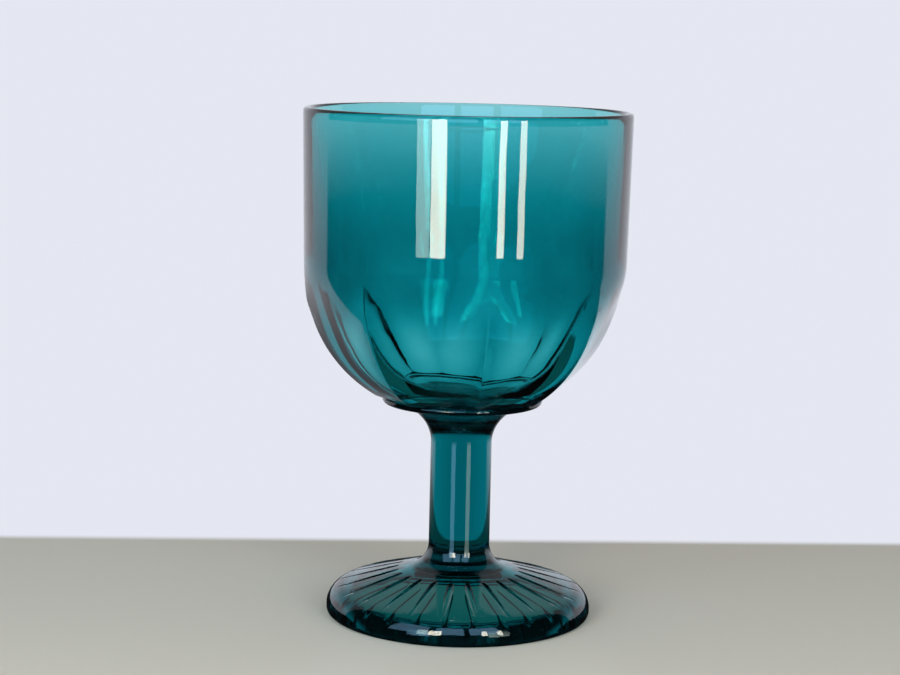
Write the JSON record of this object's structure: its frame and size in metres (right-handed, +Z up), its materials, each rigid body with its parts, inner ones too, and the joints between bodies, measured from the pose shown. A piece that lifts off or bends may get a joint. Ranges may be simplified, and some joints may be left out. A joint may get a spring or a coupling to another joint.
{
  "type": "water goblet",
  "caption": "Pressed-glass water goblet: an open bowl with flat panels around its thick base, a solid flared stem and a low conical foot with pressed rays.",
  "frame": {"origin": "centre of the foot's standing ring, on the table", "axes": "+Z up along the goblet's axis to the rim, -Y towards one ridge of the bowl"},
  "size_m": [0.094, 0.094, 0.147],
  "materials": {
    "teal_glass": "gloss"
  },
  "bodies": {
    "root": {"bowl": "teal_glass", "stem": "teal_glass", "foot": "teal_glass"}
  },
  "joints": []
}
